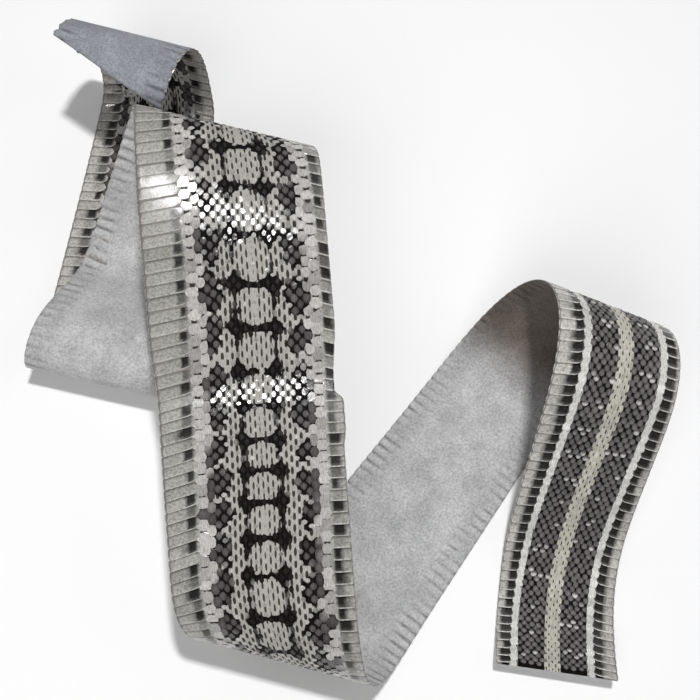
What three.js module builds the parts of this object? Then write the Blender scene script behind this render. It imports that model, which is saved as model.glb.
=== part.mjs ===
// A tanned snakeskin: the whole skin of one snake, slit along the belly, tanned and left lying on a
// table in loose zigzag folds. It is one piece of leather, so it is one solid: a thin flat blank with
// the skin's outline, bent about straight lines only, as real leather bends.
import * as THREE from "three";
import { mergeVertices } from "three/addons/utils/BufferGeometryUtils.js";

// The flat skin, in millimetres. Distances along it start at the tail cut, and across it at the spine.
const SKIN_LENGTH = 1184;
const NECK_SLANT = 16; // how much further the neck cut reaches at the right edge than at the left
const TAIL_WIDTH = 56;
const BODY_WIDTH = 85;
const NECK_WIDTH = 62;
const WIDENING = { from: 45, to: 780 };
const NARROWING = { from: 675, to: 1115 };
const THICKNESS = 1;

// How it lies. At the rest station the skin is flat on the table with its grain side down, and the
// heading is the direction, in degrees from +X, in which it runs towards the neck there.
const REST_STATION = 350;
const REST_HEADING = -114.5;

// The bends, from the tail to the neck. Each is spread over a length of skin with its middle at a
// distance along the spine. A positive angle turns the skin towards its grain side, and the skew is
// the slant of the bend's axis across the skin. Angles are in degrees.
const BENDS = [
  { name: "tail end lifting off the table", at: 43, length: 120, angle: 80, skew: 4 },
  { name: "front of the tail arch", at: 180, length: 131, angle: -141, skew: -11 },
  { name: "back of the tail arch", at: 255, length: 131, angle: -86.5, skew: -20 },
  { name: "lower fold", at: 472, length: 176, angle: -177, skew: -23 },
  { name: "crease across the main run", at: 605, length: 20, angle: 9, skew: 2 },
  { name: "crest of the main run", at: 690, length: 70, angle: -10, skew: -24 },
  { name: "front of the upper fold", at: 728, length: 52, angle: -63.5, skew: -21 },
  { name: "back of the upper fold", at: 747, length: 66, angle: -68.5, skew: -6 },
  { name: "dip under the main run", at: 825, length: 52, angle: -84.5, skew: -17.5 },
  { name: "left fold", at: 911, length: 103, angle: 214, skew: -6 },
  { name: "neck end lifting off the table", at: 1093, length: 34, angle: 81.5, skew: -8 },
  { name: "neck arch", at: 1170, length: 137, angle: 186, skew: -7 },
];

// Fineness of the fold steps along the spine and of the mesh. The mesh's cross rows follow the bend
// lines, apart from a stretch at each end where they turn to meet the cut.
const STATION_STEP = 2;
const RULING_STEPS = 24;
const ROWS_ALONG = 200;
const COLUMNS_ACROSS = 4;
const CUT_STRETCH = 80;

const toRadians = THREE.MathUtils.degToRad;
const smoothstep = THREE.MathUtils.smoothstep;

// Width of the flat skin at a distance along it: narrow tail, broad body, narrower neck.
function widthAt(along) {
  const grown = (BODY_WIDTH - TAIL_WIDTH) * smoothstep(along, WIDENING.from, WIDENING.to);
  const shrunk = (BODY_WIDTH - NECK_WIDTH) * smoothstep(along, NARROWING.from, NARROWING.to);
  return TAIL_WIDTH + grown - shrunk;
}

// Turn per millimetre along the spine: each bend is a raised cosine over its length.
function curvatureAt(along) {
  let turn = 0;
  for (const bend of BENDS) {
    const part = (along - bend.at) / bend.length + 0.5;
    if (part > 0 && part < 1) {
      turn += (toRadians(bend.angle) / bend.length) * (1 - Math.cos(2 * Math.PI * part));
    }
  }
  return turn;
}

// Slant of the straight bend line that crosses the spine here, drawn evenly from bend to bend.
function skewAt(along) {
  const next = BENDS.findIndex((bend) => bend.at > along);
  if (next === 0) return toRadians(BENDS[0].skew);
  if (next < 0) return toRadians(BENDS[BENDS.length - 1].skew);
  const before = BENDS[next - 1];
  const after = BENDS[next];
  const part = (along - before.at) / (after.at - before.at);
  return toRadians(before.skew + (after.skew - before.skew) * part);
}

// One frame for each station along the spine, which carries flat points to their folded place: each
// step turns what lies ahead about the bend line through it. The rest station ends up level.
function foldFrames() {
  const count = Math.ceil((SKIN_LENGTH + NECK_SLANT) / STATION_STEP) + 1;
  const frames = [new THREE.Matrix4()];
  for (let i = 0; i < count; i++) {
    const along = (i + 0.5) * STATION_STEP;
    const skew = skewAt(along);
    const line = new THREE.Vector3(Math.cos(skew), Math.sin(skew), 0);
    const hinge = new THREE.Matrix4().makeTranslation(0, along, 0);
    hinge.multiply(new THREE.Matrix4().makeRotationAxis(line, curvatureAt(along) * STATION_STEP));
    hinge.multiply(new THREE.Matrix4().makeTranslation(0, -along, 0));
    frames.push(frames[i].clone().multiply(hinge));
  }
  const lay = new THREE.Matrix4().makeRotationZ(toRadians(REST_HEADING - 90));
  lay.multiply(new THREE.Matrix4().makeRotationY(Math.PI));
  lay.multiply(frames[REST_STATION / STATION_STEP].clone().invert());
  for (const frame of frames) frame.premultiply(lay);
  return frames;
}

// Folded place of a flat point, given by its distance across, along and off the middle of the skin.
function foldPoint(frames, across, along, lift) {
  let station = along;
  for (let i = 0; i < RULING_STEPS; i++) {
    station = along - across * Math.tan(skewAt(station));
  }
  const step = THREE.MathUtils.clamp(station / STATION_STEP, 0, frames.length - 1.001);
  const first = Math.floor(step);
  const here = new THREE.Vector3(across, along, lift).applyMatrix4(frames[first]);
  const ahead = new THREE.Vector3(across, along, lift).applyMatrix4(frames[first + 1]);
  return here.lerp(ahead, step - first);
}

// Slope of a cross row of the mesh: square at the tail cut, along the bend lines, along the neck cut.
function rowSlopeAt(along) {
  const offTail = smoothstep(along, 0, CUT_STRETCH);
  const atNeck = smoothstep(along, SKIN_LENGTH - CUT_STRETCH, SKIN_LENGTH);
  const bendSlope = Math.tan(skewAt(along));
  return bendSlope * offTail * (1 - atNeck) + (NECK_SLANT / NECK_WIDTH) * atNeck;
}

// The leather: a flat blank of unit sides, given the skin's outline and thickness, then folded.
function foldedSkin() {
  const blank = new THREE.BoxGeometry(1, 1, THICKNESS, COLUMNS_ACROSS, ROWS_ALONG, 1);
  blank.deleteAttribute("normal");
  blank.deleteAttribute("uv");
  const skin = mergeVertices(blank);
  const places = skin.getAttribute("position");
  const frames = foldFrames();
  for (let i = 0; i < places.count; i++) {
    const row = (places.getY(i) + 0.5) * SKIN_LENGTH;
    const across = places.getX(i) * widthAt(row);
    const along = row + across * rowSlopeAt(row);
    const point = foldPoint(frames, across, along, places.getZ(i));
    places.setXYZ(i, point.x, point.y, point.z);
  }
  skin.computeBoundingBox();
  const middle = skin.boundingBox.getCenter(new THREE.Vector3());
  skin.translate(-middle.x, -middle.y, -skin.boundingBox.min.z);
  skin.computeVertexNormals();
  return skin;
}

const leather = new THREE.MeshStandardMaterial({ color: 0xb4b2ae, roughness: 0.45, metalness: 0 });
const snakeskin = new THREE.Mesh(foldedSkin(), leather);
snakeskin.name = "snakeskin";

const part = new THREE.Group();
part.add(snakeskin);

export default part;
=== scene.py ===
"""A tanned snakeskin laid on a table in loose zigzag folds: hide, rows of scales and belly plates."""

import bpy
import numpy as np
from mathutils import Matrix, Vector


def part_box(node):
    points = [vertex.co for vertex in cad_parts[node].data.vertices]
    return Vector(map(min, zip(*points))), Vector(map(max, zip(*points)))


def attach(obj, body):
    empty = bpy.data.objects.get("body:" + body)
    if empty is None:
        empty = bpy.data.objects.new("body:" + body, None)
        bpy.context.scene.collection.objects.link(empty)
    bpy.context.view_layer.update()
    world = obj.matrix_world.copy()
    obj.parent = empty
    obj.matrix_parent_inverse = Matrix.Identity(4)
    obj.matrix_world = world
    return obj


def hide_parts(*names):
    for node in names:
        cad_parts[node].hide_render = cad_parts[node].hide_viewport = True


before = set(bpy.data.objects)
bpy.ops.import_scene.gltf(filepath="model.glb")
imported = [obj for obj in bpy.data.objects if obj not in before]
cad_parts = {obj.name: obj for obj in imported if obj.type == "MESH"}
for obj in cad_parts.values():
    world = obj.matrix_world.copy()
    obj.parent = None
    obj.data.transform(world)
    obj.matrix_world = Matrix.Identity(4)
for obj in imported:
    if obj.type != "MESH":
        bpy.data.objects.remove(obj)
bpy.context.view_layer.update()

# Hide: the skin of one snake, slit along the belly and tanned, about half a millimetre thick. The grain
# side carries the scales, and the flesh side was scraped and left as pale suede. It lies loose in folds.
# Sizes are in millimetres: along the skin from the tail cut, across it from its middle line.
MM = 0.001
SKIN_LENGTH = 1184.0
NECK_SLANT = 16.0
TAIL_WIDTH = 56.0
BODY_WIDTH = 85.0
NECK_WIDTH = 62.0
WIDENING = 45.0, 780.0
NARROWING = 675.0, 1115.0
SOLID_THICKNESS = 1.0
GRAIN_LIFT = 0.05
FLESH_LIFT = -0.5
CUT_STRETCH = 80.0

# Each bend: middle along the spine, length of skin it takes, turn and slant across the skin in degrees.
BENDS = np.array([
    (43, 120, 80, 4),
    (180, 131, -141, -11),
    (255, 131, -86.5, -20),
    (472, 176, -177, -23),
    (605, 20, 9, 2),
    (690, 70, -10, -24),
    (728, 52, -63.5, -21),
    (747, 66, -68.5, -6),
    (825, 52, -84.5, -17.5),
    (911, 103, 214, -6),
    (1093, 34, 81.5, -8),
    (1170, 137, 186, -7),
])
FOLD_STEP = 2.0
RULING_STEPS = 24
REST_STATION = 350.0
REST_HEADING = -114.5


def eased(value, start, end):
    """A smooth step from 0 at start to 1 at end: three times the square less twice the cube."""
    part = np.clip((value - start) / (end - start), 0, 1)
    return part * part * (3 - 2 * part)


def window(along, rise_from, rise_to, fall_from, fall_to):
    """1 on a stretch of the skin and 0 elsewhere, with a smooth step up at its start and down at its end."""
    return eased(along, rise_from, rise_to) * eased(along, fall_to, fall_from)


def read_off(along, pairs):
    """Value at a distance along the skin or a plate, on straight lines between (distance, value) pairs."""
    return np.interp(along, pairs[:, 0], pairs[:, 1])


def half_width(along):
    """Half the flat skin's width: narrow at the tail, broad at the body, narrower again at the neck."""
    grown = (BODY_WIDTH - TAIL_WIDTH) * eased(along, *WIDENING)
    shrunk = (BODY_WIDTH - NECK_WIDTH) * eased(along, *NARROWING)
    return (TAIL_WIDTH + grown - shrunk) / 2


def fold_frames():
    """Turn and shift of each station along the spine. Every step turns what lies ahead about the straight
    bend line through it, by the sum of the bends' raised cosines there. The rest station ends up level,
    grain side down."""
    stations = np.arange(0, SKIN_LENGTH + NECK_SLANT + 2 * FOLD_STEP, FOLD_STEP)
    middles = stations[:-1] + FOLD_STEP / 2
    part = (middles[:, None] - BENDS[:, 0]) / BENDS[:, 1] + 0.5
    hump = np.where((part > 0) & (part < 1), 1 - np.cos(2 * np.pi * part), 0)
    turns = (np.radians(BENDS[:, 2]) / BENDS[:, 1] * hump).sum(1) * FOLD_STEP
    slants = np.radians(np.interp(middles, BENDS[:, 0], BENDS[:, 3]))
    turn, shift = np.eye(3), np.zeros(3)
    frames_turn, frames_shift = [turn], [shift]
    for middle, angle, slant in zip(middles, turns, slants):
        hinge = np.array(Matrix.Rotation(angle, 3, (np.cos(slant), np.sin(slant), 0)))
        foot = np.array((0, middle, 0))
        shift = shift + turn @ (foot - hinge @ foot)
        turn = turn @ hinge
        frames_turn.append(turn)
        frames_shift.append(shift)
    frames_turn, frames_shift = np.array(frames_turn), np.array(frames_shift)
    rest = int(REST_STATION / FOLD_STEP)
    heading = np.array(Matrix.Rotation(np.radians(REST_HEADING - 90), 3, "Z"))
    grain_down = np.diag((-1.0, 1.0, -1.0))
    lay = heading @ grain_down @ frames_turn[rest].T
    origin = frames_shift[rest] + frames_turn[rest] @ np.array((0, REST_STATION, 0))
    return lay @ frames_turn, (frames_shift - origin) @ lay.T


FOLD_TURNS, FOLD_SHIFTS = fold_frames()
FOLD_STATIONS = np.arange(len(FOLD_TURNS)) * FOLD_STEP
FOLD_SLOPES = np.tan(np.radians(np.interp(FOLD_STATIONS, BENDS[:, 0], BENDS[:, 3])))


def folded(across, along, lift):
    """Folded place of flat points: each is carried by the station whose bend line passes through it, and
    drawn evenly between that station's frame and the next."""
    across, along, lift = np.broadcast_arrays(across, along, lift)
    station = along.astype(float)
    for _ in range(RULING_STEPS):
        station = along - across * np.interp(station, FOLD_STATIONS, FOLD_SLOPES)
    step = np.clip(station / FOLD_STEP, 0, len(FOLD_TURNS) - 1.001)
    first = step.astype(int)
    part = (step - first)[..., None]
    flat = np.stack([across, along, lift], -1)
    here = np.einsum("...ij,...j->...i", FOLD_TURNS[first], flat) + FOLD_SHIFTS[first]
    ahead = np.einsum("...ij,...j->...i", FOLD_TURNS[first + 1], flat) + FOLD_SHIFTS[first + 1]
    return here * (1 - part) + ahead * part


def row_slope(row):
    """Slope of a cross row of the hide: square at the tail cut, along the bend lines, along the neck cut."""
    at_neck = eased(row, SKIN_LENGTH - CUT_STRETCH, SKIN_LENGTH)
    along_bends = np.interp(row, FOLD_STATIONS, FOLD_SLOPES) * eased(row, 0, CUT_STRETCH)
    return along_bends * (1 - at_neck) + NECK_SLANT / NECK_WIDTH * at_neck


# The CAD solid's own box says where the folded skin lies. A coarse sheet as thick as that solid is folded in
# the same way, and the shift is from its box to the solid's.
BLANK_ROWS = 401
BLANK_COLUMNS = 5
blank_rows, blank_across = np.meshgrid(np.linspace(0, SKIN_LENGTH, BLANK_ROWS),
                                       np.linspace(-1, 1, BLANK_COLUMNS), indexing="ij")
blank_across = blank_across * half_width(blank_rows)
blank_along = blank_rows + blank_across * row_slope(blank_rows)
blank = np.concatenate([folded(blank_across, blank_along, lift).reshape(-1, 3)
                        for lift in (-SOLID_THICKNESS / 2, SOLID_THICKNESS / 2)])
box_low, box_high = (np.array(corner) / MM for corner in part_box("snakeskin"))
blank_middle = (blank.min(0) + blank.max(0)) / 2
FOLD_PLACE = np.array([*((box_low + box_high) / 2 - blank_middle)[:2], box_low[2] - blank[:, 2].min()])

# Belly plates lie one vertebra apart, and every row has one scale to a plate. So the number of plates
# passed is the measure along the skin. Each pair is a distance along it and the pitch there.
PLATE_PITCH = np.array([(0, 3.8), (25, 4.1), (50, 4.7), (80, 5.1), (450, 4.9), (590, 4.85), (612, 5.7),
                        (1200, 5.5)])
PLATE_SAMPLES = 2401
plate_stations = np.linspace(0, SKIN_LENGTH + 2 * NECK_SLANT, PLATE_SAMPLES)
plate_counts = np.cumsum(np.gradient(plate_stations) / read_off(plate_stations, PLATE_PITCH))


def plates_passed(along):
    """How many belly plates lie between the tail cut and this distance along the spine."""
    return np.interp(along, plate_stations, plate_counts)


def station_of(count):
    """Distance along the spine at which that many plates have been passed."""
    return np.interp(count, plate_counts, plate_stations)


# The slit is not quite in the middle of the belly, so the spine wanders off the middle of the strip. The
# share is the part of the half width that the rows of scales take up.
BACK_MIDDLE = np.array([(0, -2.2), (150, 2.8), (300, 3), (490, 2.5), (520, 2.5), (550, 4), (600, 5),
                        (650, 7), (690, 7), (725, 5), (800, 3), (950, 0), (1200, 0)])
BACK_SHARE = np.array([(0, 0.71), (150, 0.7), (520, 0.725), (650, 0.72), (900, 0.68), (1030, 0.64),
                       (1200, 0.64)])

# Where the crease across the main run draws the edges in or lets them out.
RIGHT_PUCKER = 592, 597, 601, 628
RIGHT_PUCKER_DEPTH = 2.4
RIGHT_BULGE = 570, 580, 592, 597
RIGHT_BULGE_DEPTH = 1.2
LEFT_TUCK = 500, 540, 598, 625
LEFT_TUCK_DEPTH = 1.5


def back_middle(along):
    """Where the snake's spine runs across the strip."""
    return read_off(along, BACK_MIDDLE)


def back_reach(along):
    """How far the rows of scales reach from the spine to the belly plates."""
    return half_width(along) * read_off(along, BACK_SHARE)


def skin_edge(along, side):
    """Distance of the edge from the strip's middle line: half the width, changed a little by the crease."""
    let_out = RIGHT_BULGE_DEPTH * window(along, *RIGHT_BULGE)
    drawn_in = RIGHT_PUCKER_DEPTH * window(along, *RIGHT_PUCKER)
    tucked = LEFT_TUCK_DEPTH * window(along, *LEFT_TUCK)
    return half_width(along) + np.where(side > 0, let_out - drawn_in, -tucked)


# Widths of the rows of scales from the spine outwards, as shares. Towards the tail one row dies out.
BODY_ROWS = np.array([0.5, 1, 1, 1, 1, 1.02, 1.05, 1.08, 1.15, 1.25, 1.45, 2.2])
TAIL_ROWS = np.array([0.9, 1.35, 1.35, 1.8, 1.8, 1.8, 1.8, 1.8, 1.8, 1.8, 0, 3.8])
ROWS_DIE_FROM, ROWS_DIE_TO = 420.0, 330.0
DEAD_ROW = 0.05
BETWEEN_ROWS = 11.5


def row_borders(along):
    """Outer borders of the rows from the spine outwards, as distances from the spine, one array a row."""
    dying = eased(along, ROWS_DIE_FROM, ROWS_DIE_TO)
    body = BODY_ROWS[:, None] / BODY_ROWS.sum()
    tail = TAIL_ROWS[:, None] / TAIL_ROWS.sum()
    return np.cumsum(body * (1 - dying) + tail * dying, 0) * back_reach(along)


def row_number(along, offset):
    """Row that a point lies in, counted from the spine, as a running number that is whole at the middle
    of each row: the sum of the shares of all rows that lie between the spine and the point."""
    borders = row_borders(along.ravel())
    reach = np.abs(offset).ravel()
    inner = np.vstack([-borders[:1], borders[:-1]])
    number = np.clip((reach - inner) / np.maximum(borders - inner, DEAD_ROW), 0, 1).sum(0) - 0.5
    return number.reshape(along.shape)


def linear(hex_colour):
    """Linear colour of an sRGB hex value."""
    srgb = np.array([int(hex_colour[i:i + 2], 16) for i in (1, 3, 5)]) / 255
    return np.where(srgb <= 0.04045, srgb / 12.92, ((srgb + 0.055) / 1.055) ** 2.4)


def mixed(first, second, share):
    """Colours drawn from first to second by share, point by point."""
    return first + (second - first) * np.asarray(share)[..., None]


def soft(distance, blur=0.5):
    """1 well inside a marking and 0 outside it, with a soft border."""
    return eased(distance, -blur, blur)


# Ladder pattern of the body: black bars cross the back, with a pale oval between two bars, and a grey
# blotch stands on each flank. Each pair of BARS is a distance along the skin and the bars passed there.
# The tail has a cream stripe between two dark bands instead, with a white stripe outside each band.
BARS = np.array([(-20, -30), (400, -5), (485, 0), (521, 2), (551, 4), (578, 6), (608.5, 8), (648, 10),
                 (694, 12), (715, 13), (1220, 36)])
BAR_SPAN = 6.0
BAR_THICKNESS = np.array([(590, 1.9), (630, 2.7)])
BAR_LEAN = np.array([(600, 0.05), (640, 0.11)])
BAR_OVERHANG = np.array([(590, 2.62), (630, 4.16)])
BAR_FLARE = 3.2
BAR_DEPTH = 3.0
OVAL_REACH = np.array([(590, 6.8), (630, 7.9)])
POST_WIDTH = 1.4
BLOTCH_REACH = 19.3
BLOTCH_HALF_WIDTH = 4.9
BLOTCH_HALF_LENGTH = 0.38
BLOTCH_DEPTH = 4.5
LEFT_BLOTCH_SHIFT, RIGHT_BLOTCH_SHIFT = 3.5, 6.0
BLOTCH_WIDTH_SPREAD, BLOTCH_LENGTH_SPREAD, BLOTCH_SHIFT_SPREAD = 0.5, 0.7, 0.9
BAR_RAGGED, BLOTCH_RAGGED = 0.4, 0.8
WANDER_APART = 40
BARS_BEFORE = 40
LADDER_FROM, LADDER_TO = 320.0, 430.0
STRIPE_REACH = 3.6
BAND_REACH = 16.2
BLOTCH_PLACES = 90
WAVES = 6
WAVE_RATE = 1.3
chance = np.random.default_rng(23)
BLOTCH_DRAW = chance.normal(size=(2, 3, BLOTCH_PLACES))
WANDER_DRAW = chance.uniform(-1, 1, size=(WAVES, 3)) * np.array((WAVE_RATE, WAVE_RATE, np.pi))


def wander(along, offset):
    """A smooth uneven field of about unit size that roughens the markings' borders: six crossing waves."""
    waves = WANDER_DRAW[:, 0] * along[..., None] + WANDER_DRAW[:, 1] * offset[..., None]
    return np.sin(waves + WANDER_DRAW[:, 2]).sum(-1) / 2


def ladder_marks(along, offset):
    """Black bars with their side posts, and grey blotches: depths in mm of a point inside each. An oval's
    half width falls to nothing at the bars like the root of one less the fourth power, and black fills
    what is left of an envelope that flares at the bars. Each blotch is an oval of its own size and place."""
    leaned = along + offset * read_off(along, BAR_LEAN)
    reach = np.abs(offset)
    number = read_off(leaned, BARS)
    period = 2 * BAR_SPAN / (read_off(leaned + BAR_SPAN, BARS) - read_off(leaned - BAR_SPAN, BARS))
    spread = np.abs(number - np.round(number))
    along_oval = (1 - 2 * spread) / (1 - read_off(along, BAR_THICKNESS) / period)
    widest = read_off(along, OVAL_REACH)
    oval = widest * np.sqrt(np.clip(1 - along_oval ** 4, 0, 1))
    flare = read_off(along, BAR_OVERHANG) * np.exp(-(spread * period / BAR_FLARE) ** 2)
    envelope = widest + POST_WIDTH + flare
    black = np.minimum(np.where(oval > 0, reach - oval, BAR_DEPTH), envelope - reach)
    beside = read_off(leaned + np.where(offset > 0, RIGHT_BLOTCH_SHIFT, LEFT_BLOTCH_SHIFT), BARS)
    place = np.clip(np.round(beside).astype(int) + BARS_BEFORE, 0, BLOTCH_PLACES - 1)
    wide, long, shift = np.moveaxis(BLOTCH_DRAW[(offset > 0).astype(int), :, place], -1, 0)
    along_blotch = (beside - np.round(beside)) * period + BLOTCH_SHIFT_SPREAD * shift
    out_across = (reach - BLOTCH_REACH) / (BLOTCH_HALF_WIDTH + BLOTCH_WIDTH_SPREAD * wide)
    out_along = along_blotch / (BLOTCH_HALF_LENGTH * period + BLOTCH_LENGTH_SPREAD * long)
    blotch = BLOTCH_DEPTH * (1 - np.hypot(out_across, out_along))
    black = black + BAR_RAGGED * wander(along, offset)
    return black, blotch + BLOTCH_RAGGED * wander(along + WANDER_APART, offset)


SKIN_PALE = linear("#a7a49f")
SKIN_FLANK = linear("#aaa7a2")
SKIN_OUTER = linear("#908c88")
SKIN_BLACK = linear("#0d0b0a")
SKIN_CREAM = linear("#b9b6ab")
SKIN_STRIPE = linear("#c8c6c2")
SKIN_SEAM = linear("#7d7975")
PALE_REACH = 12.0
OUTER_SHARE = 0.73
BLOTCH_MARGIN = 0.8
SEAM_WIDTH = 3.6
MARK_RANGE = 4.0


def skin_tint(along, offset):
    """Colour of the skin between the scales where no marking lies, and a depth that says how black the
    markings are: 1 well inside the bars, bands and blotches, 0 outside, and half on their borders."""
    reach = np.abs(offset)
    outer = back_reach(along)
    ladder = eased(along, LADDER_FROM, LADDER_TO)
    body = mixed(SKIN_PALE, SKIN_FLANK, soft(reach - PALE_REACH))
    body = mixed(body, SKIN_OUTER, soft(reach - OUTER_SHARE * outer))
    tail = mixed(SKIN_STRIPE, SKIN_CREAM, soft(STRIPE_REACH - reach))
    colours = mixed(mixed(tail, body, ladder), SKIN_SEAM, soft(reach - outer))
    black, blotch = ladder_marks(along, offset)
    body_depth = np.maximum(black, blotch + BLOTCH_MARGIN)
    band_depth = np.minimum(reach - STRIPE_REACH, BAND_REACH - reach)
    seam_depth = np.minimum(reach - outer, outer + SEAM_WIDTH - reach)
    depth = np.maximum(band_depth, seam_depth) * (1 - ladder) + body_depth * ladder
    return colours, np.clip(0.5 + depth / MARK_RANGE, 0, 1)


def add_node(tree, kind, feeds=(), **settings):
    """Adds a node. A feed is a socket and the output or plain value that goes into it. A setting is one of
    the node's own properties, or a socket by its name with underscores for spaces."""
    node = tree.nodes.new(kind)
    for name, value in settings.items():
        if hasattr(node, name):
            setattr(node, name, value)
        else:
            node.inputs[name.replace("_", " ")].default_value = value
    for socket, feed in feeds:
        if isinstance(feed, bpy.types.NodeSocket):
            tree.links.new(feed, node.inputs[socket])
        else:
            node.inputs[socket].default_value = feed
    return node


def new_material(name):
    """An empty node material and the shader that it ends in."""
    material = bpy.data.materials.new(name)
    material.use_nodes = True
    tree = material.node_tree
    tree.nodes.clear()
    shader = add_node(tree, "ShaderNodeBsdfPrincipled")
    add_node(tree, "ShaderNodeOutputMaterial", [("Surface", shader.outputs["BSDF"])])
    return material, tree, shader


# Tanned snake leather, grain skin between the scales: thin, matt and finely creased. The eye sees pale skin
# with crisp black markings, and a dark slit between one scale and the next in each row: dark skin in the gap,
# darkened further as painted shade of the groove at the scale's tip.
# Slit colours: dark skin in the gap between scales with painted shade of the groove.
SLIT_PALE = linear("#2d2a27")
SLIT_BLACK = linear("#161312")
SLIT_HALF_LENGTH = 0.43
grain_leather, tree, shader = new_material("tanned_snake_leather_grain_skin")
shader.inputs["Roughness"].default_value = 0.7
shader.inputs["Specular IOR Level"].default_value = 0.12
tint = add_node(tree, "ShaderNodeAttribute", attribute_name="tint")
dark = add_node(tree, "ShaderNodeAttribute", attribute_name="dark")
place = add_node(tree, "ShaderNodeTexCoord")
rows = add_node(tree, "ShaderNodeUVMap", uv_map="rows")
row_parts = add_node(tree, "ShaderNodeSeparateXYZ", [("Vector", rows.outputs["UV"])])
nearest = add_node(tree, "ShaderNodeMath", [(0, row_parts.outputs["X"])], operation="ROUND")
beside = add_node(tree, "ShaderNodeMath", [(0, row_parts.outputs["X"]), (1, nearest.outputs[0])],
                  operation="SUBTRACT")
half_step = add_node(tree, "ShaderNodeMath", [(0, nearest.outputs[0]), (1, 0.5)], operation="MULTIPLY")
staggered = add_node(tree, "ShaderNodeMath", [(0, row_parts.outputs["Y"]), (1, half_step.outputs[0])],
                     operation="ADD")
within = add_node(tree, "ShaderNodeMath", [(0, staggered.outputs[0])], operation="FRACT")
from_slit = add_node(tree, "ShaderNodeMath", [(0, within.outputs[0]), (1, 0.5)], operation="SUBTRACT")
slit_along = add_node(tree, "ShaderNodeMath", [(0, from_slit.outputs[0]), (1, SLIT_HALF_LENGTH)],
                      operation="DIVIDE")
slit_width = add_node(tree, "ShaderNodeMapRange", [("Value", nearest.outputs[0])],
                      From_Min=2.5, From_Max=5.5, To_Min=0.26, To_Max=0.35)
slit_across = add_node(tree, "ShaderNodeMath", [(0, beside.outputs[0]), (1, slit_width.outputs["Result"])],
                       operation="DIVIDE")
slit_oval = add_node(tree, "ShaderNodeCombineXYZ",
                     [("X", slit_across.outputs[0]), ("Y", slit_along.outputs[0])])
slit_reach = add_node(tree, "ShaderNodeVectorMath", [(0, slit_oval.outputs[0])], operation="LENGTH")
slit = add_node(tree, "ShaderNodeMapRange", [("Value", slit_reach.outputs["Value"])],
                From_Min=0.72, From_Max=1.0, To_Min=0.95, To_Max=0.0)
marking = add_node(tree, "ShaderNodeMapRange", [("Value", dark.outputs["Fac"])], From_Min=0.42, From_Max=0.58)
marked = add_node(tree, "ShaderNodeMixRGB",
                  [("Fac", marking.outputs["Result"]), ("Color1", tint.outputs["Color"])],
                  Color2=(*SKIN_BLACK, 1))
slit_shade = add_node(tree, "ShaderNodeMapRange", [("Value", dark.outputs["Fac"])],
                      From_Min=0.02, From_Max=0.3)
slit_colour = add_node(tree, "ShaderNodeMixRGB", [("Fac", slit_shade.outputs["Result"])],
                       Color1=(*SLIT_PALE, 1), Color2=(*SLIT_BLACK, 1))
slit_dark = add_node(tree, "ShaderNodeMixRGB",
                     [("Fac", slit.outputs["Result"]), ("Color1", marked.outputs["Color"]),
                      ("Color2", slit_colour.outputs["Color"])])
crease = add_node(tree, "ShaderNodeTexNoise", [("Vector", place.outputs["Object"])],
                  Scale=1 / (0.5 * MM), Detail=3.0)
crease_bump = add_node(tree, "ShaderNodeBump", [("Height", crease.outputs["Fac"])],
                       Strength=0.4, Distance=0.05 * MM)
tree.links.new(slit_dark.outputs["Color"], shader.inputs["Base Color"])
tree.links.new(crease_bump.outputs["Normal"], shader.inputs["Normal"])

# Tanned snake leather, scraped flesh side: dry pale suede. The eye sees grey with fine speckle and cloudy
# patches, and faint broken dark lines near the edges, one at each belly plate, painted as shade in the
# grooves between the low ribs.
LINE_SHARPNESS = 7
flesh_suede, tree, shader = new_material("tanned_snake_leather_flesh_suede")
shader.inputs["Roughness"].default_value = 0.92
shader.inputs["Specular IOR Level"].default_value = 0.15
shader.inputs["Sheen Weight"].default_value = 0.15
tint = add_node(tree, "ShaderNodeAttribute", attribute_name="tint")
near_edge = add_node(tree, "ShaderNodeAttribute", attribute_name="dark")
place = add_node(tree, "ShaderNodeTexCoord")
speckle = add_node(tree, "ShaderNodeTexNoise", [("Vector", place.outputs["Object"])],
                   Scale=1 / (1.2 * MM), Detail=4.0, Roughness=0.75)
cloud = add_node(tree, "ShaderNodeTexNoise", [("Vector", place.outputs["Object"])],
                 Scale=1 / (14 * MM), Detail=5.0, Roughness=0.6)
speckle_ramp = add_node(tree, "ShaderNodeMapRange", [("Value", speckle.outputs["Fac"])],
                        From_Min=0.36, From_Max=0.6, To_Min=0.72, To_Max=1.16)
cloud_ramp = add_node(tree, "ShaderNodeMapRange", [("Value", cloud.outputs["Fac"])],
                      From_Min=0.34, From_Max=0.62, To_Min=0.84, To_Max=1.1)
patches = add_node(tree, "ShaderNodeMath",
                   [(0, speckle_ramp.outputs["Result"]), (1, cloud_ramp.outputs["Result"])],
                   operation="MULTIPLY")
rows = add_node(tree, "ShaderNodeUVMap", uv_map="rows")
row_parts = add_node(tree, "ShaderNodeSeparateXYZ", [("Vector", rows.outputs["UV"])])
# Painted shade: broken dark lines near the edges, one at each belly plate, in the rib grooves.
plate_turn = add_node(tree, "ShaderNodeMath", [(0, row_parts.outputs["Y"]), (1, np.pi)], operation="MULTIPLY")
plate_wave = add_node(tree, "ShaderNodeMath", [(0, plate_turn.outputs[0])], operation="COSINE")
plate_size = add_node(tree, "ShaderNodeMath", [(0, plate_wave.outputs[0])], operation="ABSOLUTE")
plate_line = add_node(tree, "ShaderNodeMath", [(0, plate_size.outputs[0]), (1, LINE_SHARPNESS)],
                      operation="POWER")
broken = add_node(tree, "ShaderNodeMapRange", [("Value", cloud.outputs["Fac"])],
                  From_Min=0.4, From_Max=0.62, To_Min=0.0, To_Max=0.6)
edge_part = add_node(tree, "ShaderNodeMath", [(0, near_edge.outputs["Fac"]), (1, broken.outputs["Result"])],
                     operation="MULTIPLY")
edge_line = add_node(tree, "ShaderNodeMath", [(0, plate_line.outputs[0]), (1, edge_part.outputs[0])],
                     operation="MULTIPLY")
lined = add_node(tree, "ShaderNodeMath", [(0, 1.0), (1, edge_line.outputs[0])], operation="SUBTRACT")
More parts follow.
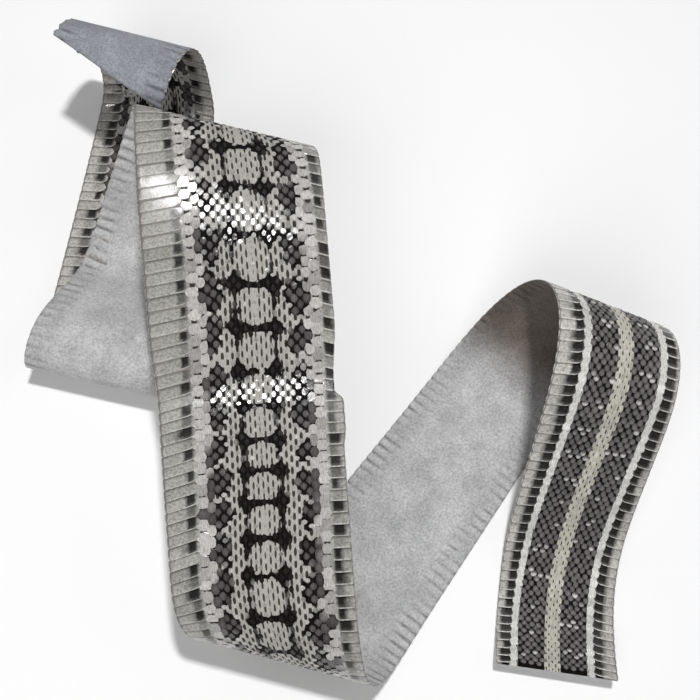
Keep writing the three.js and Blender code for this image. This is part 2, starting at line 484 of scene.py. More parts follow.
toned = add_node(tree, "ShaderNodeMath", [(0, patches.outputs[0]), (1, lined.outputs[0])],
                 operation="MULTIPLY")
suede = add_node(tree, "ShaderNodeVectorMath", [(0, tint.outputs["Vector"]), ("Scale", toned.outputs[0])],
                 operation="SCALE")
wrinkle = add_node(tree, "ShaderNodeTexNoise", [("Vector", place.outputs["Object"])],
                   Scale=1 / (2.2 * MM), Detail=5.0, Roughness=0.65, Distortion=0.6)
nap_bump = add_node(tree, "ShaderNodeBump", [("Height", wrinkle.outputs["Fac"])],
                    Strength=0.45, Distance=0.5 * MM)
tree.links.new(suede.outputs["Vector"], shader.inputs["Base Color"])
tree.links.new(nap_bump.outputs["Normal"], shader.inputs["Normal"])


def add_piece(name, flat, corners, sides, smooth, tint_colours, material):
    """A mesh piece on the skin: flat points (across, along, lift) in mm, the corners of its faces one after
    another, how many each face has, which faces shade smoothly, and a colour for each point. The points
    are folded into place, and their flat place is kept as a UV map in mm."""
    places = folded(*flat)
    mesh = bpy.data.meshes.new(name)
    mesh.vertices.add(len(places))
    mesh.vertices.foreach_set("co", ((places + FOLD_PLACE) * MM).astype(np.float32).ravel())
    mesh.loops.add(len(corners))
    mesh.loops.foreach_set("vertex_index", corners.astype(np.int32))
    mesh.polygons.add(len(sides))
    mesh.polygons.foreach_set("loop_start", (np.cumsum(sides) - sides).astype(np.int32))
    mesh.polygons.foreach_set("use_smooth", smooth)
    mesh.materials.append(material)
    mesh.update(calc_edges=True)
    flat_places = flat[:2].T[corners].astype(np.float32)
    mesh.uv_layers.new(name="flat").data.foreach_set("uv", flat_places.ravel())
    colours = np.concatenate([tint_colours, np.ones((len(tint_colours), 1))], 1).astype(np.float32)
    mesh.attributes.new("tint", "FLOAT_COLOR", "POINT").data.foreach_set("color", colours.ravel())
    piece = bpy.data.objects.new(name, mesh)
    bpy.context.scene.collection.objects.link(piece)
    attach(piece, "root")
    return piece


def grid_quads(rows, columns):
    """Corners of the quads of a grid of points, counter-clockwise, one quad a line."""
    first = (np.arange(rows - 1)[:, None] * columns + np.arange(columns - 1)).ravel()
    return np.stack([first, first + 1, first + columns + 1, first + columns], 1)


def grid_rim(rows, columns):
    """Points round the border of a grid, counter-clockwise."""
    bottom = np.arange(columns)
    right = np.arange(1, rows) * columns + columns - 1
    top = (rows - 1) * columns + np.arange(columns - 2, -1, -1)
    left = np.arange(rows - 2, 0, -1) * columns
    return np.concatenate([bottom, right, top, left])


# The hide's edges are scalloped by the plates, deeper at the neck. Its flesh side has low ribs under them,
# with painted shade in the grooves between, a bluer, darker tone at the neck end, and a painted brown shade
# inside the tail arch, where the arch shades the flesh. The last two scale the grey.
HIDE_ROWS = 801
HIDE_COLUMNS = 57
SCALLOP_LEVEL = 0.8
SCALLOP_FROM = 0.7
SCALLOP_DEPTH = 0.5
NECK_SCALLOP_DEPTH = 1.2
NECK_SCALLOP_FROM, NECK_SCALLOP_TO = 1080, 1110
RIB_HEIGHT = 0.15
RIB_SLANT = 0.18
# How much painted shade darkens the flesh in the grooves between the ribs.
RIB_PAINTED_SHADE = 0.2
RIB_FADE = 15, 8
LINE_FADE = 14, 6
FLESH_GREY = linear("#b7b7b8")
FLESH_GROOVE_SHADE = linear("#8b8b8c")
FLESH_NECK = linear("#cbced6")
# Colour that scales the flesh grey inside the tail arch: painted brown shade of the arch.
FLESH_ARCH_SHADE = linear("#90867c")
NECK_TONE_FROM, NECK_TONE_TO = 1095, 1130
# Stretch of flesh inside the tail arch that gets the painted shade.
ARCH_PAINTED_SHADE = 185, 210, 255, 290
hide_rows, hide_share = np.meshgrid(np.linspace(0, SKIN_LENGTH, HIDE_ROWS), np.linspace(-1, 1, HIDE_COLUMNS),
                                    indexing="ij")
edge_along = hide_rows + hide_share * half_width(hide_rows) * row_slope(hide_rows)
scallop_depth = SCALLOP_DEPTH + NECK_SCALLOP_DEPTH * eased(edge_along, NECK_SCALLOP_FROM, NECK_SCALLOP_TO)
scallop = (np.abs(np.sin(np.pi * plates_passed(edge_along))) - SCALLOP_LEVEL) * scallop_depth
scallop = scallop * eased(np.abs(hide_share), SCALLOP_FROM, 1)
hide_across = hide_share * (skin_edge(edge_along, hide_share) + scallop)
hide_along = hide_rows + hide_across * row_slope(hide_rows)
hide_offset = hide_across - back_middle(hide_along)
from_edge = skin_edge(hide_along, hide_share) - np.abs(hide_across)
rib_wave = 0.5 + 0.5 * np.cos(2 * np.pi * plates_passed(hide_along + RIB_SLANT * from_edge))
rib = rib_wave ** 2 * eased(from_edge, *RIB_FADE)
hide_lift = np.stack([np.full_like(rib, GRAIN_LIFT), FLESH_LIFT + RIB_HEIGHT * rib])
hide_flat = np.stack([np.stack([hide_across] * 2), np.stack([hide_along] * 2), hide_lift]).reshape(3, -1)
# Painted shade: the flesh grey darkens in the grooves between the ribs.
flesh_tint = mixed(FLESH_GREY, FLESH_GROOVE_SHADE, RIB_PAINTED_SHADE * rib)
flesh_tint = mixed(flesh_tint, FLESH_NECK * flesh_tint, eased(hide_along, NECK_TONE_FROM, NECK_TONE_TO))
# Painted brown shade inside the tail arch, where the arch shades the flesh.
flesh_tint = mixed(flesh_tint, FLESH_ARCH_SHADE * flesh_tint, window(hide_along, *ARCH_PAINTED_SHADE))
grain_tint, grain_dark = skin_tint(hide_along, hide_offset)
hide_tint = np.concatenate([grain_tint.reshape(-1, 3), flesh_tint.reshape(-1, 3)])
grain_quads = grid_quads(HIDE_ROWS, HIDE_COLUMNS)
flesh_quads = grain_quads[:, ::-1] + HIDE_ROWS * HIDE_COLUMNS
rim = grid_rim(HIDE_ROWS, HIDE_COLUMNS)
rim_next = np.roll(rim, -1)
rim_quads = np.stack([rim_next, rim, rim + HIDE_ROWS * HIDE_COLUMNS, rim_next + HIDE_ROWS * HIDE_COLUMNS], 1)
hide_quads = np.concatenate([grain_quads, flesh_quads, rim_quads])
hide = add_piece("hide", hide_flat, hide_quads.ravel(), np.full(len(hide_quads), 4),
                 np.arange(len(hide_quads)) < 2 * len(grain_quads), hide_tint, grain_leather)
hide.data.materials.append(flesh_suede)
hide_sides = np.ones(len(hide_quads), np.int32)
hide_sides[:len(grain_quads)] = 0
hide.data.polygons.foreach_set("material_index", hide_sides)

# Attribute dark: on the grain side how black the markings are, on the flesh side how near the edge is.
# UV map rows: row number and plates passed. The tail's white stripes count as lying between two rows, so
# that no slits are drawn there.
hide_dark = np.concatenate([grain_dark.ravel(), eased(from_edge, *LINE_FADE).ravel()]).astype(np.float32)
hide.data.attributes.new("dark", "FLOAT", "POINT").data.foreach_set("value", hide_dark)
in_white_stripe = (hide_along < ROWS_DIE_TO) & (np.abs(hide_offset) > BAND_REACH)
hide_row = np.where(in_white_stripe, BETWEEN_ROWS, row_number(hide_along, hide_offset))
hide_lattice = np.stack([hide_row, plates_passed(hide_along)], -1).reshape(-1, 2)
hide_lattice = np.concatenate([hide_lattice, hide_lattice])[hide_quads.ravel()]
hide.data.uv_layers.new(name="rows").data.foreach_set("uv", hide_lattice.astype(np.float32).ravel())
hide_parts("snakeskin")

# Dorsal scales: small horn scales in staggered rows, each a nearly flat glossy lozenge that tilts up towards
# its tip at the tail side, and round beads in the tail's dark bands. They are part of the skin and grow
# out of it. The outer rows have larger, rounder scales that overlap.
SCALE_ACROSS = np.array([-1, -0.74, 0, 0.74, 1])
SCALE_ALONG = np.array([-1, -0.76, -0.26, 0.26, 0.76, 1])
SCALE_HEIGHT = 0.2
SCALE_DOME = 0.01
BEAD_DOME = 0.14
SCALE_SINK = -0.1
TIP_TILT = 0.058
TILT_SPREAD = 0.014
LEAN_SPREAD = 0.018
SIZE_SPREAD = 0.06
RAGGED_SPREAD = 0.05
TIP_TAPER = 0.12
OUTER_ROWS = 10
NARROWEST_ROW = 0.9
TAIL_MARGIN, NECK_MARGIN = 2.2, 2.5
FLANK_FROM, FLANK_TO = 10, 14

# Half widths as shares of the row's width, half lengths as shares of the plates' pitch, and the powers of
# the outlines. Plain and outer scales have their own, and what the other kinds have more is added.
HALF_WIDTH, DARK_FLANK_WIDTH, BEAD_WIDTH = 0.64, 0.1, 0.22
OUTER_HALF_WIDTH, OUTER_TAIL_WIDTH = 0.76, -0.18
HALF_LENGTH, FLANK_LENGTH, DARK_LENGTH, BEAD_LENGTH, STRIPE_LENGTH = 0.2, 0.05, 0.18, 0.01, 0.22
OUTER_HALF_LENGTH = 0.62
CLOSED_SHARE = 0.8
POWER, BEAD_POWER, OUTER_POWER, OUTER_TAIL_POWER = 1.3, 0.45, 0.6, 1.2

# Where the skin is drawn together so that the scales meet, and where the lower fold presses them flat.
CREST_CLOSED = 664, 676, 704, 716
CREASE_CLOSED = 594, 600, 614, 622
SCALES_PRESSED = 500, 540, 590, 597
TILT_LOST, LEAN_LOST = 0.9, 0.7
OUTER_FLATNESS = 0.5

# How far single scales stray from their place and their marking, and how their tones change.
PLACE_SPREAD_ALONG, PLACE_SPREAD_ACROSS = 0.2, 0.14
MARK_SPREAD_ALONG, MARK_SPREAD_ACROSS = 0.9, 0.7
TINT_REACH = 0.15
TONE_SPREAD = 0.1
DARK_TONES = 0.12, 0.3
# Dark scales: a painted highlight in the middle, and at the edge partly a dark outline and partly painted
# shade. Beads: a painted highlight in the middle, painted shade at the edge, and lighter towards the tip.
DARK_MIDDLE_HIGHLIGHT, DARK_EDGE_OUTLINE_AND_SHADE = 0.5, 0.95
BEAD_MIDDLE_HIGHLIGHT, BEAD_EDGE_SHADE, BEAD_TIP = 0.3, 0.75, 0.3
OUTER_RIM, OUTER_TAIL_RIM = 0.62, 0.3
SMUDGE = 0.3
FLANK_TINT = 10, 16
OUTER_TINT = 19, 23
SCALE_PALE = linear("#a9a6a1")
SCALE_FLANK = linear("#b4b1ae")
SCALE_OUTER = linear("#b8b5b2")
SCALE_BLACK = linear("#1e1a18")
SCALE_GREY = linear("#4f4b4a")
SCALE_CREAM = linear("#bebbb0")
SCALE_STRIPE = linear("#d6d4d0")
SCALE_BEAD = linear("#686464")
SCALE_FLECK = linear("#bcb9b7")
FLECK_SPACING = 13.2
FLECK_HALF_LENGTH = 1.7
FLECK_REACH = 14
FLECK_CHANCE = 0.5
LEFT_FLECK_STEP, RIGHT_FLECK_STEP = 0.45, 0.1


def scale_grid():
    """One scale's points as shares of its half width and half length: a square grid drawn onto a disc, each
    point pulled in by the root of one less half the square of the other share. The third is 1 on the rim
    and 0 inside."""
    beside, ahead = np.meshgrid(SCALE_ACROSS, SCALE_ALONG)
    rim = np.maximum(np.abs(beside), np.abs(ahead)) == 1
    beside, ahead = beside * np.sqrt(1 - ahead ** 2 / 2), ahead * np.sqrt(1 - beside ** 2 / 2)
    return beside.ravel(), ahead.ravel(), rim.ravel().astype(float)


def scale_outline(beside, ahead, power):
    """Disc points moved along their own rays so that the disc becomes the outline on which the two shares,
    each raised to the power, add up to one: 1 gives a lozenge, 2 an oval, and more a rounded square."""
    from_middle = np.clip(np.hypot(beside, ahead), 0.01, 2)
    powers = np.abs(beside / from_middle) ** power + np.abs(ahead / from_middle) ** power
    stretch = powers ** (-1 / power)
    return beside * stretch, ahead * stretch


def scale_sites(row, side):
    """Places of the scales in one row: distance along, distance from the spine and width of the row there.
    There is one to a plate, and every second row is shifted by half a pitch."""
    along = station_of(np.arange(1, plate_counts[-1]) + 0.5 * (row % 2))
    borders = row_borders(along)
    inner = borders[row - 1] if row else -borders[0]
    width = borders[row] - inner
    middle = back_middle(along) + side * (borders[row] + inner) / 2
    limit = SKIN_LENGTH + middle * NECK_SLANT / NECK_WIDTH - NECK_MARGIN
    kept = (width > NARROWEST_ROW) & (along > TAIL_MARGIN) & (along < limit)
    return along[kept], (middle - back_middle(along))[kept], width[kept]


def scale_tint(along, offset, fleck_draw):
    """Colour of the scales: pale in the ovals, black in the bars and grey in the blotches. At the tail a
    cream stripe, white stripes and grey beads, with pale flecks at even steps where the draw is high."""
    reach = np.abs(offset)
    black, blotch = ladder_marks(along, offset)
    body = mixed(SCALE_PALE, SCALE_FLANK, eased(reach, *FLANK_TINT))
    body = mixed(body, SCALE_OUTER, eased(reach, *OUTER_TINT))
    body = mixed(body, SCALE_GREY, soft(blotch))
    body = mixed(body, SCALE_BLACK, soft(black))
    band = soft(reach - STRIPE_REACH) * soft(BAND_REACH - reach)
    tail = mixed(SCALE_STRIPE, SCALE_CREAM, soft(STRIPE_REACH - reach))
    tail = mixed(tail, SCALE_BEAD, band)
    step = along / FLECK_SPACING + np.where(offset > 0, RIGHT_FLECK_STEP, LEFT_FLECK_STEP)
    from_step = np.abs(step - np.round(step)) * FLECK_SPACING
    fleck = soft(FLECK_HALF_LENGTH - from_step) * soft(FLECK_REACH - reach) * (fleck_draw > FLECK_CHANCE)
    tail = mixed(tail, SCALE_FLECK, band * fleck)
    return mixed(tail, body, eased(along, LADDER_FROM, LADDER_TO))


# Horn scale of tanned snake leather, glazed: hard and glossy with fine fibres. The eye sees uneven tones
# along the scale, and whole scales that flash where their tilt mirrors a lamp.
FIBRE_WIDTH, FIBRE_LENGTH = 0.45, 2.4
scale_horn, tree, shader = new_material("glazed_snake_scale_horn")
shader.inputs["Specular IOR Level"].default_value = 0.55
tint = add_node(tree, "ShaderNodeAttribute", attribute_name="tint")
place = add_node(tree, "ShaderNodeTexCoord")
flat_place = add_node(tree, "ShaderNodeUVMap", uv_map="flat")
mottle = add_node(tree, "ShaderNodeTexNoise", [("Vector", place.outputs["Object"])],
                  Scale=1 / (1.6 * MM), Detail=4.0)
stretched = add_node(tree, "ShaderNodeVectorMath",
                     [(0, flat_place.outputs["UV"]), (1, (1 / FIBRE_WIDTH, 1 / FIBRE_LENGTH, 1))],
                     operation="MULTIPLY")
fibre = add_node(tree, "ShaderNodeTexNoise", [("Vector", stretched.outputs["Vector"])], Scale=1.0, Detail=3.0)
fibre_ramp = add_node(tree, "ShaderNodeMapRange", [("Value", fibre.outputs["Fac"])],
                      From_Min=0.34, From_Max=0.62, To_Min=0.7, To_Max=1.08)
mottle_ramp = add_node(tree, "ShaderNodeMapRange", [("Value", mottle.outputs["Fac"])],
                       From_Min=0.3, From_Max=0.7, To_Min=0.88, To_Max=1.1)
mottled = add_node(tree, "ShaderNodeMath",
                   [(0, mottle_ramp.outputs["Result"]), (1, fibre_ramp.outputs["Result"])],
                   operation="MULTIPLY")
horn = add_node(tree, "ShaderNodeVectorMath", [(0, tint.outputs["Vector"]), ("Scale", mottled.outputs[0])],
                operation="SCALE")
wear = add_node(tree, "ShaderNodeTexNoise", [("Vector", place.outputs["Object"])],
                Scale=1 / (6 * MM), Detail=3.0)
wear_ramp = add_node(tree, "ShaderNodeMapRange", [("Value", wear.outputs["Fac"])],
                     From_Min=0.3, From_Max=0.7, To_Min=0.1, To_Max=0.15)
fibre_bump = add_node(tree, "ShaderNodeBump", [("Height", fibre.outputs["Fac"])],
                      Strength=0.6, Distance=0.03 * MM)
tree.links.new(horn.outputs["Vector"], shader.inputs["Base Color"])
tree.links.new(wear_ramp.outputs["Result"], shader.inputs["Roughness"])
tree.links.new(fibre_bump.outputs["Normal"], shader.inputs["Normal"])


def between(body, tail, in_tail):
    """A value drawn from the one for the body to the one for the tail."""
    return body + (tail - body) * in_tail


def add_scales(name, rows):
    """All the scales of some rows, each (number, side), as one piece of closed shapes: a nearly flat crown
    that rises towards the tip and leans a little by chance, with a steep rim that dips into the skin. Its
    lift is the height, less the tilt by the distance towards the neck, and the lean by the distance out.
    Colours are read a little off the scale's own place. Dark scales and beads are lighter in their middle and
    darker towards their edge by a square law: a painted highlight and painted shade, and on dark scales
    partly a dark outline too. Beads are also lighter towards the tip. Scales of the outer rows have a dark
    rim."""
    beside, ahead, rim = scale_grid()
    sites = [scale_sites(row, side) for row, side in rows]
    along, offset, width = (np.concatenate(parts)[:, None] for parts in zip(*sites))
    number = np.concatenate([np.full(len(site[0]), row) for (row, _), site in zip(rows, sites)])[:, None]
    outer = number >= OUTER_ROWS
    draw = chance.normal(size=(len(along), 4))[:, :, None]
    fleck_draw = chance.random((len(along), 1))
    pitch = read_off(along, PLATE_PITCH)
    in_tail = eased(along, ROWS_DIE_FROM, ROWS_DIE_TO)
    mark_along = along + MARK_SPREAD_ALONG * draw[:, 3]
    mark_offset = offset + MARK_SPREAD_ACROSS * draw[:, 2] * (1 - in_tail)
    middle_tint = scale_tint(mark_along, mark_offset, np.zeros_like(fleck_draw))
    dark = 1 - eased(middle_tint.mean(-1), *DARK_TONES)
    stripe = in_tail * soft(STRIPE_REACH - np.abs(offset))
    flank = eased(np.abs(offset), FLANK_FROM, FLANK_TO) * (1 - in_tail)
    bead = dark * in_tail
    closed = window(along, *CREST_CLOSED) + window(along, *CREASE_CLOSED)
    broad = HALF_WIDTH + DARK_FLANK_WIDTH * dark * flank + BEAD_WIDTH * bead
    broad = np.where(outer, OUTER_HALF_WIDTH + OUTER_TAIL_WIDTH * in_tail, broad)
    broad = broad * width * (1 + SIZE_SPREAD * draw[:, 0])
    long = HALF_LENGTH + FLANK_LENGTH * flank + DARK_LENGTH * np.maximum(dark, CLOSED_SHARE * closed)
    long = long + BEAD_LENGTH * bead + STRIPE_LENGTH * stripe
    long = np.where(outer, OUTER_HALF_LENGTH, long) * pitch * (1 + SIZE_SPREAD * draw[:, 1])
    power = POWER + BEAD_POWER * np.maximum(bead, stripe) + outer * (OUTER_POWER + OUTER_TAIL_POWER * in_tail)
    edge = np.clip(np.hypot(beside, ahead), 0.01, 1) ** 2
    beside, ahead = scale_outline(beside, ahead, power)
    ragged = RAGGED_SPREAD * chance.normal(size=(2, len(along), len(rim)))
    tapered = beside * (1 - TIP_TAPER * (ahead < 0) * ahead ** 2)
    point_offset = offset + broad * (tapered + ragged[0]) + PLACE_SPREAD_ACROSS * draw[:, 2]
    point_along = along + long * (ahead + ragged[1]) + PLACE_SPREAD_ALONG * draw[:, 3]
    pressed = window(along, *SCALES_PRESSED)
    tilt = (TIP_TILT + TILT_SPREAD * chance.normal(size=(len(along), 1))) * (1 - TILT_LOST * pressed)
    lean = LEAN_SPREAD * chance.normal(size=(len(along), 1)) * (1 - LEAN_LOST * pressed)
    crown = SCALE_HEIGHT - tilt * long * ahead + lean * broad * beside
    crown = np.where(outer, OUTER_FLATNESS, 1) * crown
    crown = crown + (SCALE_DOME + BEAD_DOME * bead) * (1 - beside ** 2 - 0.5 * ahead ** 2)
    lift = SCALE_SINK * rim + crown * (1 - rim)
    flat = np.stack(np.broadcast_arrays(point_offset + back_middle(along), point_along, lift)).reshape(3, -1)
    tint_along = mark_along + TINT_REACH * long * ahead
    tint_offset = mark_offset + TINT_REACH * broad * beside
    colours = scale_tint(tint_along, tint_offset, fleck_draw * (ahead < 0))
    # Painted highlight in the middle and painted shade towards the edge of dark scales and beads.
    shade = 1 + dark * (1 - in_tail) * (DARK_MIDDLE_HIGHLIGHT - DARK_EDGE_OUTLINE_AND_SHADE * edge)
    shade = shade + bead * (BEAD_MIDDLE_HIGHLIGHT - BEAD_EDGE_SHADE * edge - BEAD_TIP * ahead)
    shade = shade * (1 - between(OUTER_RIM, OUTER_TAIL_RIM, in_tail) * outer * rim)
    shade = shade * (1 + TONE_SPREAD * draw[:, 0])
    smudged = (draw[:, 1] > 1) & (np.abs(offset) > PALE_REACH)
    shade = shade * (1 - SMUDGE * smudged * (1 - in_tail))
    colours = np.clip(colours * shade[..., None], 0, 1).reshape(-1, 3)
    rows_columns = len(SCALE_ALONG), len(SCALE_ACROSS)
    quads = grid_quads(*rows_columns)
    shift = np.arange(len(along))[:, None, None] * len(rim)
    tops = (quads[None] + shift).reshape(len(along), -1)
    bottoms = grid_rim(*rows_columns)[::-1][None] + shift[:, 0]
    corners = np.concatenate([tops, bottoms], 1).ravel()
    sides = np.tile(np.append(np.full(len(quads), 4), bottoms.shape[1]), len(along))
    smooth = ((bead > 0.5) & (np.arange(len(quads) + 1) < len(quads))).ravel()
    return add_piece(name, flat, corners, sides, smooth, colours, scale_horn)


back_rows = [(0, 1)] + [(row, side) for row in range(1, 5) for side in (-1, 1)]
back_scales = add_scales("back_scales", back_rows)
left_scales = add_scales("left_flank_scales", [(row, -1) for row in range(5, 12)])
right_scales = add_scales("right_flank_scales", [(row, 1) for row in range(5, 12)])

# Belly plates: the broad scales of the belly, cut through by the slit, so that half of each one lies along
# each edge. They are horn like the scales, and overlap towards the tail. Most carry a black spot where
# they meet the rows of scales.
PLATE_ACROSS = np.array([0, 0.05, 0.11, 0.17, 0.23, 0.29, 0.36, 0.46, 0.64, 0.88, 1])
PLATE_ALONG = np.array([-1, -0.88, -0.76, -0.25, 0.35, 0.66, 0.8, 1])
PLATE_PROFILE = np.array([(-1, 0.1), (-0.88, 0.3), (0.8, 0.05), (1, -0.1)])
PLATE_HALF_LENGTH = 0.55
PLATE_START = 0.97
TONGUE_REACH, TONGUE_DEPTH = 0.25, 0.8
CORNER_ROUNDING = 0.12
OUTER_BULGE, INNER_BULGE = 0.03, -0.05
EDGE_OVERHANG = 0.3
PLATE_STRAY = 0.1
PRESSED_TILT, TILT_CHANCE = 0.1, 0.03
PLATES_PRESSED = 500, 540, 595, 602
GREY_PLATES = LADDER_FROM, LADDER_TO, 750, 800
PLATE_GREY = linear("#a09e99")
PLATE_TAIL = linear("#b9b6b1")
# Pale colour painted along each plate's lip at the tail side: a painted highlight.
PLATE_LIP_HIGHLIGHT = linear("#d8d6d2")
# Dark colour of the joint just beyond the lip of the plate ahead: a dark joint with painted shadow under that
# lip.
PLATE_JOINT_AND_SHADOW = linear("#2b2725")
PLATE_BLACK = linear("#120f0d")
RIM_FROM, RIM_BLUR = -0.8, 0.08
LINE_FROM, LINE_BLUR = 0.66, 0.06
# Shares of the painted lip highlight, then of the dark joint line with its painted shadow, for tail and body.
TAIL_RIM, LEFT_RIM, RIGHT_RIM = 0.8, 0.35, 0.5
TAIL_LINE, BODY_LINE = 0.6, 0.8
BODY_SPOT, TAIL_SPOT = 5.4, 4.9
BODY_SPOT_FROM, BODY_SPOT_FULL = 0.6, 1.9
TAIL_SPOT_FROM, TAIL_SPOT_FULL = -0.6, 0.4
SPOT_SPREAD = 0.08
SPOT_BLUR = 0.3
SPOT_CHANCE, SPOT_GRADES = 2.6, 3
SPOT_STRENGTH = 0.96
PLATE_TONE_SPREAD = 0.06

# How far each plate's outer end lies towards the tail from its inner end, by distance along the skin.
LEFT_SLANT = np.array([(0, 0.5), (200, 1), (450, 3.2), (620, 3), (650, 1.8), (740, 1), (1200, 1.5)])
RIGHT_SLANT = np.array([(0, 1), (450, 0.5), (590, 0.5), (620, 2.2), (740, 2.5), (1200, 1.5)])

# Belly horn of tanned snake leather, glazed: smoother than the back. The eye sees a pale even gloss with
# fine dirt specks.
plate_horn, tree, shader = new_material("glazed_snake_belly_horn")
shader.inputs["Specular IOR Level"].default_value = 0.55
tint = add_node(tree, "ShaderNodeAttribute", attribute_name="tint")
place = add_node(tree, "ShaderNodeTexCoord")
specks = add_node(tree, "ShaderNodeTexNoise", [("Vector", place.outputs["Object"])],
                  Scale=1 / (1.1 * MM), Detail=6.0, Roughness=0.75)
specks_ramp = add_node(tree, "ShaderNodeMapRange", [("Value", specks.outputs["Fac"])],
                       From_Min=0.36, From_Max=0.58, To_Min=0.54, To_Max=1.12)
belly = add_node(tree, "ShaderNodeVectorMath",
                 [(0, tint.outputs["Vector"]), ("Scale", specks_ramp.outputs["Result"])],
                 operation="SCALE")
polish = add_node(tree, "ShaderNodeTexNoise", [("Vector", place.outputs["Object"])],
                  Scale=1 / (5 * MM), Detail=3.0)
polish_ramp = add_node(tree, "ShaderNodeMapRange", [("Value", polish.outputs["Fac"])],
                       From_Min=0.3, From_Max=0.7, To_Min=0.11, To_Max=0.18)
tree.links.new(belly.outputs["Vector"], shader.inputs["Base Color"])
tree.links.new(polish_ramp.outputs["Result"], shader.inputs["Roughness"])


def add_plates(name, side, slant):
    """The half plates along one edge as one piece of closed shapes: each a strip from the rows of scales out
    to the edge, slanting towards the tail. Its inner end is rounded like a tongue, its outer corners a
    little, and its crown slopes up to a lip at the tail side. Spots, a painted highlight along the lip, and a
    dark joint line with painted shadow where the next plate's lip overlaps are soft steps across and along
    the plate. On the body, chance grades every second plate's spot."""
    counts = np.arange(1.0, int(plates_passed(SKIN_LENGTH + side * NECK_SLANT / 2)))
    share, ahead = (part.ravel() for part in np.meshgrid(PLATE_ACROSS, PLATE_ALONG))
    draw = chance.normal(size=(len(counts), 3))[:, :, None]
    spot_draw = chance.random((len(counts), 1))
    along = station_of(counts)[:, None]
    inner = side * back_middle(along) + PLATE_START * back_reach(along)
    tongue = np.sqrt(1 - TONGUE_DEPTH * np.clip(1 - share / TONGUE_REACH, 0, 1) ** 2)
    rounded = ahead * tongue * (1 - CORNER_ROUNDING * np.clip(2 * share - 1, 0, 1) ** 8)
    point_along = along + PLATE_HALF_LENGTH * read_off(along, PLATE_PITCH) * rounded
    point_along = point_along - read_off(along, slant) * share + PLATE_STRAY * draw[:, 0]
    outer = skin_edge(point_along, np.full_like(point_along, side))
    outward = share + np.where(share > 0.5, OUTER_BULGE, INNER_BULGE) * (1 - ahead ** 2)
    reach = np.minimum(inner + (outer - inner) * outward, outer + EDGE_OVERHANG)
    tilt = PRESSED_TILT * window(along, *PLATES_PRESSED) + TILT_CHANCE * draw[:, 1]
    crown = read_off(ahead, PLATE_PROFILE) + tilt * ahead * (np.abs(ahead) < 1)
    lift = np.where((share == 0) | (share == 1), SCALE_SINK, crown)
    flat = np.stack(np.broadcast_arrays(side * reach, point_along, lift)).reshape(3, -1)
    in_tail = 1 - eased(along, LADDER_FROM, LADDER_TO)
    lip_highlight_share = between(RIGHT_RIM if side > 0 else LEFT_RIM, TAIL_RIM, in_tail)
    joint_and_shadow_share = between(BODY_LINE, TAIL_LINE, in_tail)
    colours = mixed(PLATE_TAIL, PLATE_GREY, window(along, *GREY_PLATES))
    # Painted highlight along the lip at the tail side, then the dark joint with painted shadow where the next
    # plate's lip overlaps.
    colours = mixed(colours, PLATE_LIP_HIGHLIGHT, lip_highlight_share * soft(RIM_FROM - ahead, RIM_BLUR))
    colours = mixed(colours, PLATE_JOINT_AND_SHADOW, joint_and_shadow_share * soft(ahead - LINE_FROM, LINE_BLUR))
    strength = np.where(counts[:, None] % 2 == 0, 1, np.round(SPOT_CHANCE * spot_draw) / SPOT_GRADES)
    spot_length = between(BODY_SPOT, TAIL_SPOT, in_tail) * (1 + SPOT_SPREAD * draw[:, 1])
    spot_start = eased(reach - inner, between(BODY_SPOT_FROM, TAIL_SPOT_FROM, in_tail),
                       between(BODY_SPOT_FULL, TAIL_SPOT_FULL, in_tail))
    spot = spot_start * soft(spot_length - (reach - inner), SPOT_BLUR)
    spot = spot * np.maximum(in_tail, strength) * soft(ahead - RIM_FROM, RIM_BLUR)
    colours = mixed(colours, PLATE_BLACK, SPOT_STRENGTH * spot)
    colours = colours * (1 + PLATE_TONE_SPREAD * draw[:, 2, :, None])
    rows_columns = len(PLATE_ALONG), len(PLATE_ACROSS)
    quads = grid_quads(*rows_columns)
    bottom = grid_rim(*rows_columns)[::-1]
    if side < 0:
        quads, bottom = quads[:, ::-1], bottom[::-1]
    shift = np.arange(len(counts))[:, None, None] * len(share)
    tops = (quads[None] + shift).reshape(len(counts), -1)
    corners = np.concatenate([tops, bottom[None] + shift[:, 0]], 1).ravel()
    sides = np.tile(np.append(np.full(len(quads), 4), len(bottom)), len(counts))
    smooth = np.zeros(len(sides), bool)
    return add_piece(name, flat, corners, sides, smooth, np.clip(colours, 0, 1).reshape(-1, 3), plate_horn)


left_plates = add_plates("left_belly_plates", -1, LEFT_SLANT)
right_plates = add_plates("right_belly_plates", 1, RIGHT_SLANT)

# Table top: a plain pale surface that the skin lies on. Its paint is matt white, so that shadows are all
# the eye sees on it.
TABLE_HALF = 3.0
table_corners = [(x * TABLE_HALF, y * TABLE_HALF, 0) for x, y in ((-1, -1), (1, -1), (1, 1), (-1, 1))]
floor_mesh = bpy.data.meshes.new("table_top")
floor_mesh.from_pydata(table_corners, [], [(0, 1, 2, 3)])
floor = bpy.data.objects.new("table_top", floor_mesh)
bpy.context.scene.collection.objects.link(floor)
table_paint, tree, shader = new_material("matt_white_table_paint")
shader.inputs["Base Color"].default_value = (*linear("#f6f6f6"), 1)
shader.inputs["Roughness"].default_value = 0.9
shader.inputs["Specular IOR Level"].default_value = 0.1
floor_mesh.materials.append(table_paint)

# Studio light: a lamp overhead, a little behind the skin, and large soft panels round the table that fill
# the shade. That lamp and the front panel give no glints. One lamp gives nothing but glints: those across
# the crest and the crease of the main run.
AIM_HEIGHT = 0.03
world = bpy.data.worlds.new("studio")
bpy.context.scene.world = world
world.use_nodes = True
world.node_tree.nodes["Background"].inputs["Color"].default_value = (1, 1, 1, 1)
world.node_tree.nodes["Background"].inputs["Strength"].default_value = 0.07


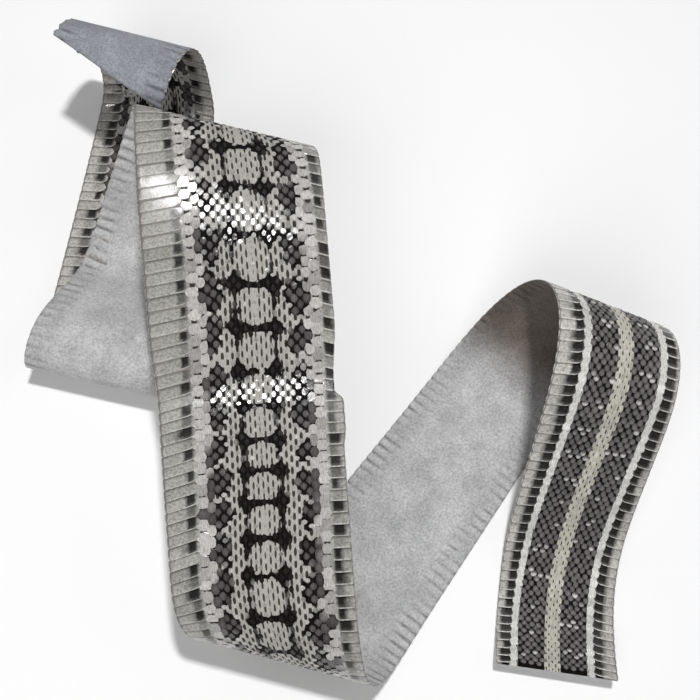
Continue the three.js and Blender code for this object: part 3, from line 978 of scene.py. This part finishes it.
def add_panel(name, azimuth, elevation, distance, size, power):
    """A square light aimed at the middle of the skin. Azimuth is 0 on the viewer's side and 90 on the right.
    Angles are in degrees, distance and size in metres, and power in watts."""
    lamp = bpy.data.lights.new(name, "AREA")
    lamp.size = size
    lamp.energy = power
    turn = Matrix.Rotation(np.radians(azimuth), 4, "Z") @ Matrix.Rotation(np.radians(90 - elevation), 4, "X")
    panel = bpy.data.objects.new(name, lamp)
    panel.matrix_world = Matrix.Translation((0, 0, AIM_HEIGHT)) @ turn @ Matrix.Translation((0, 0, distance))
    bpy.context.scene.collection.objects.link(panel)
    return panel


key_lamp = add_panel("key_lamp", 182, 83, 1.4, 0.1, 14)
key_lamp.visible_glossy = False
front_panel = add_panel("front_panel", -10, 40, 1.5, 1.0, 9)
front_panel.visible_glossy = False
add_panel("left_panel", -110, 40, 1.5, 1.0, 0.8)
add_panel("right_panel", 100, 40, 1.5, 1.0, 1.5)
add_panel("back_panel", 175, 38, 1.5, 1.0, 1.5)
glint_lamp = add_panel("glint_lamp", 227, 65, 1.4, 0.16, 5)
glint_lamp.visible_diffuse = False

# Camera: looks down on the skin as the photograph does, turned a little about its own axis.
LOOK_OFFSET = np.array((-52.5, 56.0, 19.5))
CAMERA_ELEVATION = np.radians(69)
CAMERA_ROLL = np.radians(13)
CAMERA_DISTANCE = 500.0
FOCAL_PIXELS = 1012.0
IMAGE_PIXELS = 700.0
back = np.array((0, -np.cos(CAMERA_ELEVATION), np.sin(CAMERA_ELEVATION)))
level = np.array((1.0, 0, 0))
upright = np.cross(back, level)
right = np.cos(CAMERA_ROLL) * level + np.sin(CAMERA_ROLL) * upright
up = np.cross(back, right)
camera_place = (FOLD_PLACE + LOOK_OFFSET + CAMERA_DISTANCE * back) * MM
view = bpy.data.cameras.new("view")
view.sensor_width = 36
view.lens = view.sensor_width * FOCAL_PIXELS / IMAGE_PIXELS
camera = bpy.data.objects.new("view", view)
camera.matrix_world = Matrix(np.column_stack([right, up, back, camera_place]).tolist() + [[0, 0, 0, 1]])
bpy.context.scene.collection.objects.link(camera)
bpy.context.scene.camera = camera
bpy.context.scene.view_settings.view_transform = "Standard"
